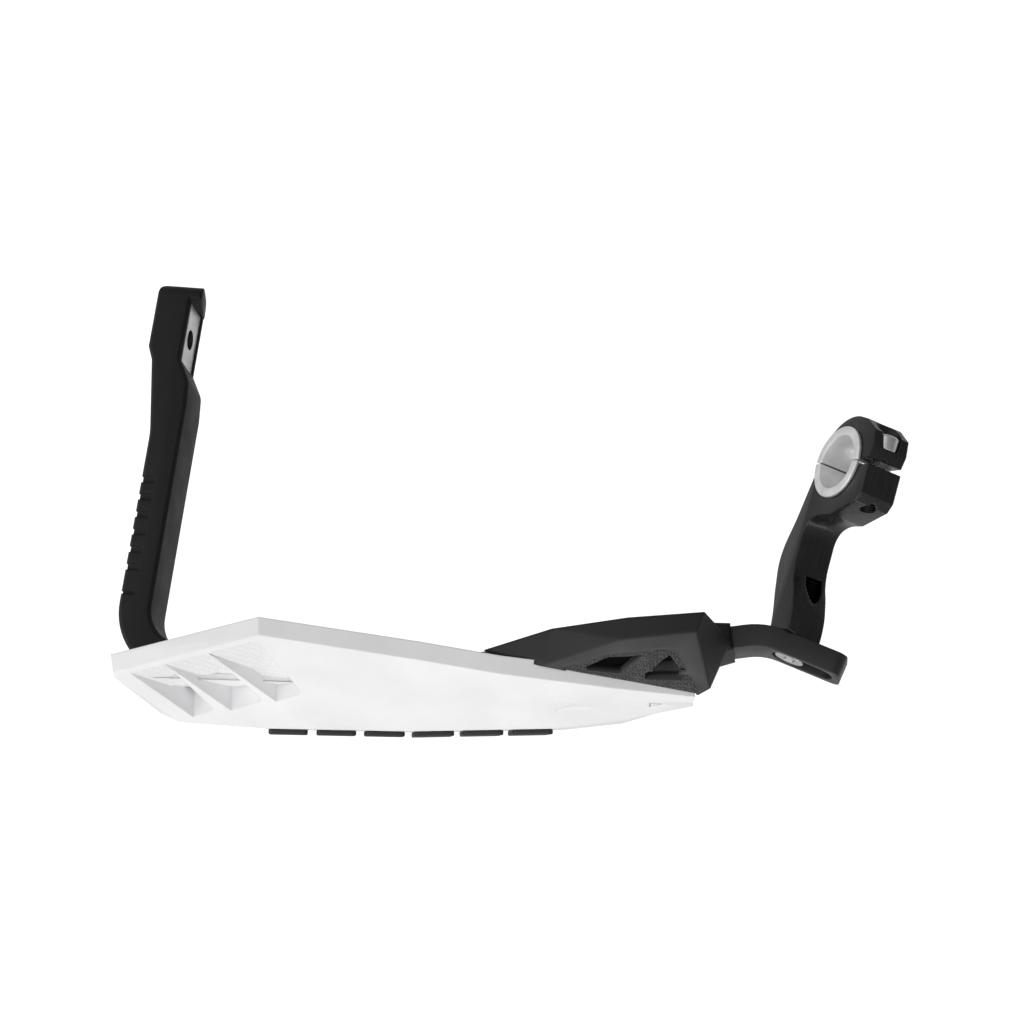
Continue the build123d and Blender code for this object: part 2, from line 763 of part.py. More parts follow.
def make_inner_cover():
    points = hood_points()
    hood = moulded_wall(points, hood_facets, hood_wall)
    sunk = {name: point - run_forward * field_depth for name, point in points.items()}
    behind_field = form_behind(sunk, hood_facets, -up * hood_form_depth)
    hood -= hood_prism(hood_field, 2 * hood_wall) - behind_field
    for window in hood_windows:
        hood -= hood_prism(window, 4 * hood_wall)
    raised = {name: point + up * fit_gap for name, point in shield_points().items()}
    hood -= moulded_wall(raised, shield_facets, shield_wall)
    hood = max(hood.solids(), key=lambda solid: solid.volume)
    full = form_behind(points, hood_facets, -up * hood_form_depth)
    hooks = [
        snap_hook("right", "bend", hook_from_flange_right) & full,
        snap_hook("bend", "end", hook_from_flange_bend) & full,
    ]
    return Part() + hood + hooks


# clamp

pivot_axis = tip_rear
level_axis = up * math.sin(math.radians(clamp_rise)) - tip_x * math.cos(math.radians(clamp_rise))
bore_axis = (
    level_axis * math.cos(math.radians(clamp_skew)) - pivot_axis * math.sin(math.radians(clamp_skew))
).normalized()
clamp_along = (pivot_axis - bore_axis * pivot_axis.dot(bore_axis)).normalized()
clamp_across = clamp_along.cross(bore_axis)
clamp_plane = Plane(origin=pivot_face + bore_axis * clamp_shift, x_dir=clamp_along, z_dir=-bore_axis)


def clamp_point(along, across, outward):
    """A place in the clamp's own directions, from the pivot on the bar's rear face."""
    return clamp_plane.origin + clamp_along * along + clamp_across * across + bore_axis * outward


bore_middle = clamp_point(bore_along, bore_across, 0)
pinch_across = bore_across + pinch_from_bore


def clamp_prism(face):
    return extrude(clamp_plane * face, amount=clamp_width / 2, both=True)


def clamp_bore():
    return rod(bore_middle - bore_axis * clamp_width, bore_axis, 2 * clamp_width, sleeve_outer_d + 2 * fit_gap)


def make_clamp_arm():
    split = bore_along - clamp_split_gap / 2
    left = Spline((-4, -6.0), (8, -8.2), (20, -11.9), (32, -14.0), (49, -9.4), (split, -4.2))
    top = Line((split, -4.2), (split, 30.4))
    ear = Polyline((split, 30.4), (57.0, 30.6), (53.6, 28.2), (49.2, 15.4), (48.4, 4.0))
    right = Spline((48.4, 4.0), (45.0, -0.6), (36, -1.7), (26, -0.6), (16.7, 3.6), (7.7, 6.5), (-4, 6.8))
    base = Line((-4, 6.8), (-4, -6.0))
    arm = clamp_prism(make_face([left, top, ear, right, base]))
    arm -= clamp_bore()
    below = Plane(origin=pivot_face + pivot_axis * base_gap, z_dir=-pivot_axis)
    arm -= extrude(below * Rectangle(80, 80), amount=20)
    pinch_hole = clamp_point(0, pinch_across, 0)
    arm -= rod(pinch_hole, clamp_along, bore_along, pinch_d + 2 * thread_gap)
    return arm - rod(pivot_face, pivot_axis, 40, pivot_d + 2 * thread_gap)


def make_clamp_cap():
    split = bore_along + clamp_split_gap / 2
    centre_across = bore_across + cap_arc_offset
    start = (split, centre_across - math.sqrt(cap_arc_radius**2 - (clamp_split_gap / 2) ** 2))
    half_way = (bore_along + cap_arc_radius * math.sin(math.radians(45)),
                centre_across - cap_arc_radius * math.cos(math.radians(45)))
    finish = (bore_along + cap_arc_radius * math.cos(math.radians(10)),
              centre_across + cap_arc_radius * math.sin(math.radians(10)))
    crown = ThreePointArc(start, half_way, finish)
    ear = Polyline(finish, (88.4, 23.6), (83.4, 31.2), (77.0, 32.4), (split, 31.0))
    foot = Line((split, 31.0), start)
    cap = clamp_prism(make_face([crown, ear, foot]))
    heel_r = sleeve_outer_d / 2 + heel_thickness
    heel = clamp_prism(Pos(bore_along, bore_across) * Circle(heel_r))
    heel_side = clamp_prism(
        Pos(bore_along + heel_thickness, bore_across - heel_r / 2 - heel_thickness * 2)
        * Rectangle(clamp_split_gap - 2 * fit_gap + 2 * heel_thickness, heel_r)
    )
    cap += heel & heel_side
    cap -= clamp_bore()
    seat = clamp_point(bore_along + pinch_seat_above_bore, pinch_across, 0)
    cap -= rod(seat, clamp_along, 4 * pinch_head_height, pinch_head_d + 1)
    return cap - rod(seat, -clamp_along, bore_along, pinch_d + 4 * thread_gap)


def make_sleeve(side):
    """Half of the split reducing sleeve: side is 1 for the cap's half and -1 for the arm's."""
    start = bore_middle - bore_axis * clamp_width / 2
    sleeve = rod(start, bore_axis, clamp_width, sleeve_outer_d)
    rim_start = bore_middle + bore_axis * (clamp_width / 2 + fit_gap)
    sleeve += rod(rim_start - bore_axis, bore_axis, 1, sleeve_outer_d)
    sleeve += rod(rim_start, bore_axis, sleeve_flange_thickness, flange_outer_d)
    sleeve -= rod(start - bore_axis, bore_axis, 2 * clamp_width, handlebar_d)
    half = Box(2 * flange_outer_d, 2 * flange_outer_d, 4 * clamp_width, align=(Align.MIN, Align.CENTER, Align.CENTER))
    plane = Plane(
        origin=bore_middle + clamp_along * side * sleeve_split_gap / 2,
        x_dir=clamp_along * side,
        z_dir=bore_axis,
    )
    return sleeve & (plane * half)


def make_socket_screw(seat, direction, shank_length, shank_d, head_d, head_height, socket):
    """A cap screw: seat is under its head, direction is the way its shank points."""
    screw = rod(seat, direction, shank_length, shank_d)
    head = rod(seat, -direction, head_height, head_d)
    top = max(head.faces(), key=lambda face: (face.center() - seat).dot(-direction))
    head = chamfer(top.edges(), head_height / 8)
    screw += head
    return screw - hex_rod(seat - direction * head_height * 1.01, direction, head_height * 0.6, socket)


def make_pinch_bolt():
    seat = clamp_point(bore_along + pinch_seat_above_bore + fit_gap, pinch_across, 0)
    length = pinch_seat_above_bore + pinch_tail_below_bore
    return make_socket_screw(
        seat, -clamp_along, length, pinch_d, pinch_head_d, pinch_head_height, pinch_socket_d
    )


def make_slide_washer():
    """The round washer that slides in the pocket on the bar's front face."""
    seat = pivot_middle + tip_rear * washer_seat_from_middle
    washer = rod(seat, -tip_rear, slide_washer_thickness, slide_washer_d)
    return washer - rod(seat + tip_rear, -tip_rear, 2 * pocket_depth, pivot_d + 2 * pivot_running_gap)


def make_pivot_bolt():
    below_head = slide_washer_thickness + fit_gap - washer_seat_from_middle
    seat = pivot_middle - tip_rear * below_head
    length = below_head + half_bar + pivot_length_in_arm
    return make_socket_screw(
        seat, tip_rear, length, pivot_d, pivot_head_d, pivot_head_height, pivot_socket_d
    )


# screws and inserts of the shield

def make_shield_screw(place):
    """A flange-head screw that goes in from behind, with its flange on the bar's rear face."""
    forward = bar_forward(place)
    seat = bar_point(place, -half_bar - fit_gap)
    screw = make_socket_screw(
        seat, forward, screw_length, screw_d, screw_head_d, screw_head_height, screw_socket_d
    )
    return screw + rod(seat, -forward, screw_flange_thickness, screw_flange_d)


def make_shield_insert(place):
    forward = bar_forward(place)
    start = bar_point(place, cover_half + 2 * fit_gap)
    insert = hex_rod(start, forward, insert_length - fit_gap, insert_across - 2 * fit_gap)
    return insert - rod(start - forward, forward, 2 * insert_length, screw_d + 2 * fit_gap)


def main():
    os.makedirs("parts", exist_ok=True)
    parts = {
        "alloy_bar": make_alloy_bar(),
        "bar_cover": make_bar_cover(),
        "shield": make_shield(),
        "inner_cover": make_inner_cover(),
        "clamp_arm": make_clamp_arm(),
        "clamp_cap": make_clamp_cap(),
        "sleeve_upper": make_sleeve(1),
        "sleeve_lower": make_sleeve(-1),
        "pinch_bolt": make_pinch_bolt(),
        "pivot_bolt": make_pivot_bolt(),
        "slide_washer": make_slide_washer(),
    }
    for index, pad in enumerate(make_trim_pads()):
        parts["trim_pad_" + str(index + 1)] = pad
    for index, place in enumerate(screw_places):
        parts["shield_screw_" + str(index + 1)] = make_shield_screw(place)
        parts["shield_insert_" + str(index + 1)] = make_shield_insert(place)
    for name, shape in parts.items():
        shape.label = name
        export_step(shape, os.path.join("parts", name + ".step"))


main()
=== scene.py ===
import json
import math

import bpy
from mathutils import Matrix, Vector


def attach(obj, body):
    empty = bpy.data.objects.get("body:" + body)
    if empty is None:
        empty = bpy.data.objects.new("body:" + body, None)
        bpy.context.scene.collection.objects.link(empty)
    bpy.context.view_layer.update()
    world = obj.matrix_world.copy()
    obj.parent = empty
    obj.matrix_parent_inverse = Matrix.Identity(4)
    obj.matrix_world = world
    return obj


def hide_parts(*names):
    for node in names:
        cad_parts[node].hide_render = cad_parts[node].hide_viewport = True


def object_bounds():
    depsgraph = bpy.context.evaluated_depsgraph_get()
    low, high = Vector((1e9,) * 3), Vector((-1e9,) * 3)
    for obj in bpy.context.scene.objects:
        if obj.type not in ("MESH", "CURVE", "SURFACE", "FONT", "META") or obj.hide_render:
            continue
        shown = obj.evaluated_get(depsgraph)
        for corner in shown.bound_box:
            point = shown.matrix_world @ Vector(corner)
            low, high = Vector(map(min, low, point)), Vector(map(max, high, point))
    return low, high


# A motorcycle hand guard, seen from above and a little from the front.
# +X runs inboard along the handlebar, +Y to the rear, +Z up. Lengths are written in millimetres,
# apart from the camera and the lamps, which are placed in metres.

mm = 0.001

# camera, in metres
camera_place = Vector((0.2958, -0.3487, 0.9258))
camera_back = Vector((0.1518, -0.2904, 0.9448))
camera_up = Vector((-0.0829, 0.9488, 0.3049))
camera_field = math.radians(24.08)
camera_reach = 100

# floor, and how much it glows as the camera and as shiny metal sees it
floor_drop = 160
floor_size = 30000
floor_grey = (0.65, 0.65, 0.65)
floor_glow_seen = 0.7
floor_glow_mirrored = 0.1

# lamps, in metres and watts, as (name, place, size, power), all aimed at the guard's middle
guard_middle = (0.15, -0.1, 0.0)
lamps = [
    ("front_softbox", (0.2, -1.5, 0.3), 1.3, 5.5),
    ("low_front_card", (0.35, -0.85, -0.12), 0.5, 2.0),
    ("left_softbox", (-1.6, -0.6, 0.8), 1.0, 6.0),
]

# broad light from the room, as (direction, where it begins, where it is full, strength)
room_light = [
    ((0, -1, 0.1), 0.0, 0.9, 0.2),
    ((-0.7, -0.1, 0.7), 0.3, 1.0, 0.6),
    ((0, 0, 1), -3.0, 3.0, 0.42),
]

# noise lies mostly between these values, and a raised dot slopes down between these distances
noise_range = (0.3, 0.7)
dot_slope = (0.25, 0.62)
dot_disorder = 0.35

# a copy of a solid: corners this close are merged, and faces this nearly flat, in degrees, are joined
merge_distance = 0.002
flat_angle = 0.4

# the guard's front run: u inboard along it, forward away from the hand, z up
bend = Vector((0, -143, 0))
run_inboard = Vector((0.99098, 0.13399, 0))
run_forward = Vector((0.13399, -0.99098, 0))
up = Vector((0, 0, 1))

# the facet that holds the vents lies this far forward at (u, z)
vent_facet_forward = 16.36
vent_facet_per_u = 0.11279
vent_facet_per_z = -0.50121

# the ramps' faces on the shield: their depth behind that facet, place, facing and least area
ramp_face_depth = (0.05, 6.6)
ramp_face_u = (3, 75)
ramp_face_lowest = 2
ramp_face_facing = (0.7, 0.992)
ramp_face_area = 3

# the lower ends of the vents' ramps, as (u, z): four corners, then a smooth lower edge
ramp_ends = [
    [(15.8, 3.4), (19.0, 8.2), (25.0, 17.5), (32.3, 8.6),
     (29.8, 6.6), (26.0, 5.4), (22.2, 4.5), (18.5, 3.7)],
    [(32.8, 7.6), (37.0, 14.8), (45.2, 25.0), (52.8, 16.4),
     (50.5, 13.0), (46.5, 11.6), (43.7, 10.0), (40.5, 8.7), (36.8, 7.7)],
    [(52.3, 13.2), (57.0, 22.0), (64.8, 32.5), (71.8, 21.5),
     (70.0, 15.0), (66.0, 12.6), (61.8, 12.2), (57.5, 12.2)],
]
ramp_end_corners = 4
ramp_depth = 6.5
ramp_end_thickness = 1.5
ramp_end_edge = 0.35

# the white liner that closes the vents in front of the bar's cover: it follows the bar's slight lean
liner_start, liner_end = 12, 76
liner_lean = 10 / 140
liner_forward = 7.5
liner_foot = -1
liner_top = 12.5
liner_shelf_depth = 2.2
liner_thickness = 0.8
liner_edge = 0.2

# the sunk field on the inner cover, as (u, z), and how its faces are told
hood_field = [
    (178.5, 28.1), (202.9, 32.9), (210.2, 33.5), (219.7, 33.4), (222.6, 32.3),
    (229.7, 20.6), (229.0, 14.0), (205.0, 18.0), (184.0, 22.0),
]
field_slack = 0.1
field_facing = 0.35
field_face_area = 0.5

# the bar's bare seat for the handlebar's end: its reach along Y, and how squarely it faces inboard
seat_reach = (-18, 16)
seat_facing = 0.85

# the clamp: along its arm from the pivot, across it, and outward along the handlebar
pivot_face = Vector((266.935, -107.184, 0))
tip_rear = Vector((0.304033, 0.952661, 0))
bore_axis = Vector((-0.816719, 0.089207, 0.570098))
clamp_shift = 1.5
clamp_along = (tip_rear - bore_axis * tip_rear.dot(bore_axis)).normalized()
clamp_across = clamp_along.cross(bore_axis)
clamp_start = pivot_face + bore_axis * clamp_shift
clamp_width = 16
bore_along, bore_across, bore_radius = 70.7, 11.3, 12.85
bore_half_sweep = 83.7
bore_steps = 18
arm_split = 69.3
arm_edge = 0.7
arm_foot_gap = 0.1

# the arm's outline as (along, across, handle): smooth points are AUTO, corners are VECTOR
arm_left_side = [
    (-4, -6.0, "VECTOR"), (8, -8.2, "AUTO"), (20, -11.9, "AUTO"), (32, -14.0, "AUTO"), (49, -9.4, "AUTO"),
    (arm_split, -4.2, "VECTOR"),
]
arm_ear = [
    (arm_split, 32.4, "VECTOR"), (57.6, 32.5, "VECTOR"), (53.9, 30.0, "VECTOR"), (49.2, 15.4, "VECTOR"),
]
arm_right_side = [
    (48.4, 4.0, "AUTO"), (45, -0.6, "AUTO"), (36, -1.7, "AUTO"), (26, -0.6, "AUTO"), (16.7, 3.6, "AUTO"),
    (7.7, 6.5, "AUTO"), (-4, 6.8, "VECTOR"),
]

# the pivot bolt's shank and its hole, from the pivot's face
pivot_bolt_end = 14
pivot_hole_spare = 1.5
pivot_hole_radius = 4.15

# the short hole seen in the arm's inboard face, as (along, across, outward)
side_hole_start = (12, 0.2, -1.9)
side_hole_depth = 13.6
side_hole_radius = 4.1

# the pinch bolt's hole in the arm's ear, and the threaded part of the bolt
pinch_across = 27.8
pinch_hole_start = 46
pinch_hole_depth = 26
pinch_hole_radius = 3.15
pinch_shank_end = bore_along + 6
pinch_shank_reach = 3.3

# threads: their pitches, and the share of its width to which a crest narrows the hole
large_pitch = 1.25
small_pitch = 1.0
thread_narrowing = 0.9


def deselect_all():
    bpy.ops.object.select_all(action="DESELECT")


def pick(piece):
    deselect_all()
    piece.select_set(True)
    bpy.context.view_layer.objects.active = piece


def edit_all():
    bpy.ops.object.mode_set(mode="EDIT")
    bpy.ops.mesh.select_all(action="SELECT")


def stop_editing():
    bpy.ops.object.mode_set(mode="OBJECT")


def in_run(place):
    """A place in metres as (u, forward, z) of the guard's front run, in millimetres."""
    there = place / mm - bend
    return there.dot(run_inboard), there.dot(run_forward), there.z


def in_clamp(place):
    """A place in metres as (along, across, outward) of the clamp, in millimetres."""
    there = place / mm - clamp_start
    return there.dot(clamp_along), there.dot(clamp_across), there.dot(bore_axis)


def clamp_place(along, across, outward):
    return clamp_start + clamp_along * along + clamp_across * across + bore_axis * outward


def axes_at(origin, x_axis, y_axis, z_axis):
    """The move from a piece's own metres to three axes at an origin given in millimetres."""
    turn = Matrix((x_axis, y_axis, z_axis)).transposed().to_4x4()
    return Matrix.Translation(origin * mm) @ turn


def middle_of(corners):
    return sum(corners, Vector()) / len(corners)


def between(limits, value):
    return limits[0] < value < limits[1]


def inside(outline, x, y):
    within = False
    for (x0, y0), (x1, y1) in zip(outline, outline[1:] + outline[:1]):
        if (y0 > y) != (y1 > y) and x < x0 + (y - y0) * (x1 - x0) / (y1 - y0):
            within = not within
    return within


# steps that the finishes and the lights share


def object_place(nodes):
    return nodes.new("ShaderNodeTexCoord").outputs["Object"]


def calculated(nodes, links, operation, *terms):
    """The result of a sum or product of sockets and plain numbers."""
    step = nodes.new("ShaderNodeMath")
    step.operation = operation
    for socket, term in zip(step.inputs, terms):
        if isinstance(term, float):
            socket.default_value = term
        else:
            links.new(term, socket)
    return step.outputs[0]


def distance_along(nodes, links, place, axis):
    along = nodes.new("ShaderNodeVectorMath")
    along.operation = "DOT_PRODUCT"
    along.inputs[1].default_value = axis
    links.new(place, along.inputs[0])
    return along.outputs["Value"]


def spread_out(nodes, links, source, seen, wanted, blend="LINEAR"):
    """A value brought from the range in which it is seen to the range that is wanted."""
    spread = nodes.new("ShaderNodeMapRange")
    spread.interpolation_type = blend
    for socket, limit in zip(("From Min", "From Max", "To Min", "To Max"), (*seen, *wanted)):
        spread.inputs[socket].default_value = limit
    links.new(source, spread.inputs["Value"])
    return spread.outputs["Result"]


# finishes


def plain_finish(name, colour, roughness, metallic=0.0, specular=0.5):
    finish = bpy.data.materials.new(name)
    finish.use_nodes = True
    shader = finish.node_tree.nodes["Principled BSDF"]
    shader.inputs["Base Color"].default_value = (*colour, 1)
    shader.inputs["Roughness"].default_value = roughness
    shader.inputs["Metallic"].default_value = metallic
    shader.inputs["Specular IOR Level"].default_value = specular
    return finish


def height_bump(finish, height, depth, edge_radius):
    """The relief of a finish, laid over edges that are rounded by edge_radius."""
    nodes, links = finish.node_tree.nodes, finish.node_tree.links
    bump = nodes.new("ShaderNodeBump")
    bump.inputs["Distance"].default_value = depth * mm
    links.new(height, bump.inputs["Height"])
    if edge_radius:
        edges = nodes.new("ShaderNodeBevel")
        edges.samples = 6
        edges.inputs["Radius"].default_value = edge_radius * mm
        links.new(edges.outputs["Normal"], bump.inputs["Normal"])
    links.new(bump.outputs["Normal"], nodes["Principled BSDF"].inputs["Normal"])


def vary_roughness(finish, source, roughness, less, more):
    nodes, links = finish.node_tree.nodes, finish.node_tree.links
    uneven = spread_out(nodes, links, source, noise_range, (roughness - less, roughness + more))
    links.new(uneven, nodes["Principled BSDF"].inputs["Roughness"])


def vary_colour(finish, source, colour, darkest, lightest):
    """The colour between two shares of itself."""
    nodes, links = finish.node_tree.nodes, finish.node_tree.links
    tint = nodes.new("ShaderNodeValToRGB")
    for end, position, share in zip(tint.color_ramp.elements, noise_range, (darkest, lightest)):
        end.position = position
        end.color = (*(share * part for part in colour), 1)
    links.new(source, tint.inputs["Fac"])
    links.new(tint.outputs["Color"], nodes["Principled BSDF"].inputs["Base Color"])


def noise(finish, scale, detail=2.0, vector=None):
    nodes, links = finish.node_tree.nodes, finish.node_tree.links
    grain = nodes.new("ShaderNodeTexNoise")
    grain.inputs["Scale"].default_value = scale
    grain.inputs["Detail"].default_value = detail
    links.new(vector or object_place(nodes), grain.inputs["Vector"])
    return grain.outputs["Fac"]


def moulded_finish(name, colour, roughness, grain_scale, grain_depth, edge_radius, specular=0.5):
    """Moulded plastic: fine grain, a slightly uneven sheen and faintly uneven colour."""
    finish = plain_finish(name, colour, roughness, specular=specular)
    height_bump(finish, noise(finish, grain_scale), grain_depth, edge_radius)
    vary_roughness(finish, noise(finish, scale=90, detail=3), roughness, less=0.05, more=0.06)
    vary_colour(finish, noise(finish, scale=35, detail=4), colour, darkest=0.94, lightest=1.03)
    return finish


def dotted_finish(name, colour, roughness, dots_per_metre, dot_height, dot_painted_highlight):
    """Moulded plastic with a close pattern of raised dots, with a painted highlight on the dots and
    painted shade in the hollows between them.
    """
    finish = plain_finish(name, colour, roughness)
    nodes, links = finish.node_tree.nodes, finish.node_tree.links
    dots = nodes.new("ShaderNodeTexVoronoi")
    dots.inputs["Scale"].default_value = dots_per_metre
    dots.inputs["Randomness"].default_value = dot_disorder
    links.new(object_place(nodes), dots.inputs["Vector"])
    peak = spread_out(nodes, links, dots.outputs["Distance"], dot_slope, (1, 0), "SMOOTHSTEP")
    height_bump(finish, peak, dot_height, edge_radius=0)
    # painted highlight on the raised dots, with the hollows between them left darker as painted shade
    vary_colour(finish, peak, colour, darkest=1, lightest=dot_painted_highlight)
    return finish


def clamp_coordinates(finish, along_scale, across_scale, outward_scale):
    """Object coordinates turned to the clamp's own axes and stretched along them."""
    nodes, links = finish.node_tree.nodes, finish.node_tree.links
    place = object_place(nodes)
    joined = nodes.new("ShaderNodeCombineXYZ")
    stretched_axes = (clamp_along * along_scale, clamp_across * across_scale, bore_axis * outward_scale)
    for socket, axis in zip(joined.inputs, stretched_axes):
        links.new(distance_along(nodes, links, place, axis), socket)
    return joined.outputs["Vector"]


def milled_finish(name, colour, roughness, metallic):
    """Black anodised metal with the faint streaks of the cutter along the arm."""
    finish = plain_finish(name, colour, roughness, metallic)
    streaks = noise(finish, scale=1, detail=4, vector=clamp_coordinates(finish, 60, 1600, 1600))
    height_bump(finish, streaks, depth=0.02, edge_radius=0.9)
    vary_roughness(finish, streaks, roughness, less=0.06, more=0.12)
    vary_colour(finish, streaks, colour, darkest=0.75, lightest=1.35)
    return finish


def coated_finish(name, colour, roughness, metallic, edge_radius):
    """Powder-coated metal with a very fine orange peel."""
    finish = plain_finish(name, colour, roughness, metallic)
    height_bump(finish, noise(finish, scale=2500), depth=0.012, edge_radius=edge_radius)
    vary_roughness(finish, noise(finish, scale=120, detail=3), roughness, less=0.05, more=0.05)
    vary_colour(finish, noise(finish, scale=45, detail=4), colour, darkest=0.85, lightest=1.15)
    return finish


def turned_finish(name, colour, roughness, edge_radius, scale=1500, metallic=1.0):
    """Bare metal with fine tool marks and a speckled sheen."""
    finish = plain_finish(name, colour, roughness, metallic)
    marks = noise(finish, scale, detail=3)
    height_bump(finish, marks, depth=0.015, edge_radius=edge_radius)
    vary_roughness(finish, marks, roughness, less=0.08, more=0.12)
    vary_colour(finish, noise(finish, scale=160, detail=4), colour, darkest=0.86, lightest=1.04)
    return finish


def threaded_finish(name, colour, roughness, axis, pitch, depth):
    """Metal with the ridges of a thread across an axis."""
    finish = plain_finish(name, colour, roughness, metallic=1.0)
    nodes, links = finish.node_tree.nodes, finish.node_tree.links
    along = distance_along(nodes, links, object_place(nodes), axis * (2 * math.pi / (pitch * mm)))
    height_bump(finish, calculated(nodes, links, "SINE", along), depth, edge_radius=0)
    vary_roughness(finish, noise(finish, scale=900), roughness, less=0.05, more=0.1)
    return finish


# camera, floor and light


def make_camera():
    back = camera_back.normalized()
    right = camera_up.cross(back).normalized()
    data = bpy.data.cameras.new("photo_camera")
    data.angle = camera_field
    data.sensor_fit = "HORIZONTAL"
    data.clip_end = camera_reach
    camera = bpy.data.objects.new("photo_camera", data)
    bpy.context.scene.collection.objects.link(camera)
    camera.matrix_world = axes_at(camera_place / mm, right, back.cross(right), back)
    bpy.context.scene.camera = camera


def make_floor():
    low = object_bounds()[0]
    middle = (*guard_middle[:2], low[2] - floor_drop * mm)
    bpy.ops.mesh.primitive_plane_add(size=floor_size * mm, location=middle)
    floor = bpy.context.object
    floor.name = "floor"
    paint = plain_finish("pale_floor", floor_grey, roughness=1.0, specular=0.0)
    nodes, links = paint.node_tree.nodes, paint.node_tree.links
    shader = nodes["Principled BSDF"]
    shader.inputs["Emission Color"].default_value = (1, 1, 1, 1)
    ray = nodes.new("ShaderNodeLightPath").outputs
    seen = calculated(nodes, links, "MULTIPLY", ray["Is Camera Ray"], floor_glow_seen)
    glow = calculated(nodes, links, "MULTIPLY_ADD", ray["Is Glossy Ray"], floor_glow_mirrored, seen)
    links.new(glow, shader.inputs["Emission Strength"])
    floor.data.materials.append(paint)


def soft_lamp(name, place, size, power):
    data = bpy.data.lights.new(name, "AREA")
    data.shape = "SQUARE"
    data.size = size
    data.energy = power
    lamp = bpy.data.objects.new(name, data)
    bpy.context.scene.collection.objects.link(lamp)
    lamp.location = place
    lamp.rotation_euler = (Vector(guard_middle) - Vector(place)).to_track_quat("-Z", "Y").to_euler()


def light_from(nodes, links, direction, begins, full, strength):
    """A broad soft light in the world, brightest towards a direction."""
    place = nodes.new("ShaderNodeTexCoord").outputs["Generated"]
    facing = distance_along(nodes, links, place, Vector(direction).normalized())
    return spread_out(nodes, links, facing, (begins, full), (0, strength), "SMOOTHSTEP")


def make_lights():
    for lamp in lamps:
        soft_lamp(*lamp)
    world = bpy.data.worlds.new("studio")
    bpy.context.scene.world = world
    world.use_nodes = True
    nodes, links = world.node_tree.nodes, world.node_tree.links
    total = light_from(nodes, links, *room_light[0])
    for light in room_light[1:]:
        total = calculated(nodes, links, "ADD", total, light_from(nodes, links, *light))
    background = nodes["Background"]
    background.inputs["Color"].default_value = (1, 1, 1, 1)
    links.new(total, background.inputs["Strength"])


# how pieces are made


def give_finish(piece, finish):
    piece.data.materials.clear()
    piece.data.materials.append(finish)


def set_finish(node, finish):
    """A CAD piece kept as it is, in a better finish."""
    solid = frame["nodes"][node]
    for slot in solid.material_slots:
        slot.material = finish
    if not solid.material_slots:
        solid.data.materials.append(finish)


def give_faces(piece, finish, belongs):
    """Another finish on the faces that a test picks by their corners, normal and area."""
    piece.data.materials.append(finish)
    number = len(piece.data.materials) - 1
    for face in piece.data.polygons:
        corners = [piece.data.vertices[corner].co for corner in face.vertices]
        if belongs(corners, face.normal, face.area / mm**2):
            face.material_index = number


def round_edges(piece, width, segments, angle):
    pick(piece)
    bevel = piece.modifiers.new("edges", "BEVEL")
    bevel.width = width * mm
    bevel.segments = segments
    bevel.limit_method = "ANGLE"
    bevel.angle_limit = math.radians(angle)
    bpy.ops.object.modifier_apply(modifier="edges")
    bpy.ops.object.shade_smooth_by_angle(angle=math.radians(angle))


def stand_for(piece, node):
    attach(piece, body_of[node])
    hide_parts(node)


def finished_copy(node, finish, width=0.5, segments=2, angle=30):
    """A CAD piece with its sharp edges rounded: a merged copy stands for the node."""
    piece = bpy.data.objects.new(node + "_finished", frame["nodes"][node].data.copy())
    bpy.context.scene.collection.objects.link(piece)
    pick(piece)
    edit_all()
    bpy.ops.mesh.remove_doubles(threshold=merge_distance * mm)
    bpy.ops.mesh.dissolve_limited(angle_limit=math.radians(flat_angle))
    stop_editing()
    round_edges(piece, width, segments, angle)
    give_finish(piece, finish)
    stand_for(piece, node)
    return piece


def outlined_plate(name, outline, thickness, edge, place, finish):
    """A plate with rounded edges, filled inside an outline drawn as a curve, both sides of its plane."""
    deselect_all()
    bpy.ops.curve.primitive_bezier_curve_add()
    plate = bpy.context.object
    plate.name = name
    curve = plate.data
    curve.dimensions = "2D"
    curve.fill_mode = "BOTH"
    curve.extrude = (thickness / 2 - edge) * mm
    curve.bevel_depth = edge * mm
    curve.bevel_resolution = 2
    curve.offset = -edge * mm
    curve.resolution_u = 8
    spline = curve.splines[0]
    spline.use_cyclic_u = True
    spline.bezier_points.add(len(outline) - 2)
    for point, (x, y, handle) in zip(spline.bezier_points, outline):
        point.handle_left_type = point.handle_right_type = handle
        point.co = (x * mm, y * mm, 0)
    bpy.ops.object.convert(target="MESH")
    plate = bpy.context.object
    plate.data.transform(place)
    edit_all()
    bpy.ops.mesh.remove_doubles(threshold=0.005 * mm)
    bpy.ops.mesh.normals_make_consistent(inside=False)
    stop_editing()
    give_finish(plate, finish)
    return plate


